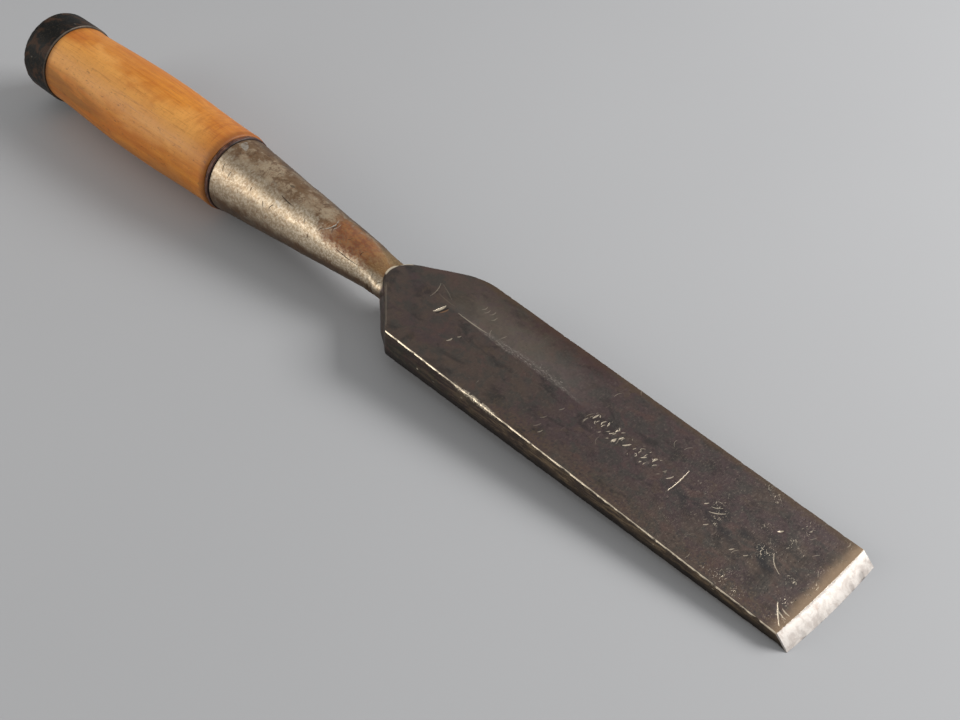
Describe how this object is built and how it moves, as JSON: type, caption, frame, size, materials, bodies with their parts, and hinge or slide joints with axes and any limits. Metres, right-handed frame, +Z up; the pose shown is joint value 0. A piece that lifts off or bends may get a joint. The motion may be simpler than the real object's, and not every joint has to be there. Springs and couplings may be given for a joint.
{
  "type": "socket chisel",
  "caption": "Wide socket chisel: flat tapered steel blade with a short steep bevel, hollow conical socket, leather washer and turned wooden handle with an iron hoop.",
  "frame": {"origin": "on the surface that the tool lies on, under the middle of the whole tool's box", "axes": "+X along the tool from the cutting edge to the butt, +Z up, +Y to the side with the crisper shoulder; the tool lies bevel up on its cutting edge and the belly of its handle, so the flat back is tilted by 1.9 degrees"},
  "size_m": [0.4616, 0.051, 0.042],
  "materials": {
    "forged_steel": "dark brown patina, worn bright on the socket, bevel and edges",
    "leather": "dark red-brown, waxed by use",
    "handle_wood": "honey-coloured hardwood, oiled and handled smooth",
    "black_iron": "blackened iron, worn at its edges"
  },
  "bodies": {
    "blade": {"blade": "forged_steel"},
    "handle": {"handle": "handle_wood", "socket_washer": "leather", "hoop": "black_iron"}
  },
  "joints": [
    {"name": "handle_draw", "type": "slide", "parent": "blade", "child": "handle", "axis": [0.9997, 0, 0.0232], "range_m": [0, 0.085]}
  ]
}
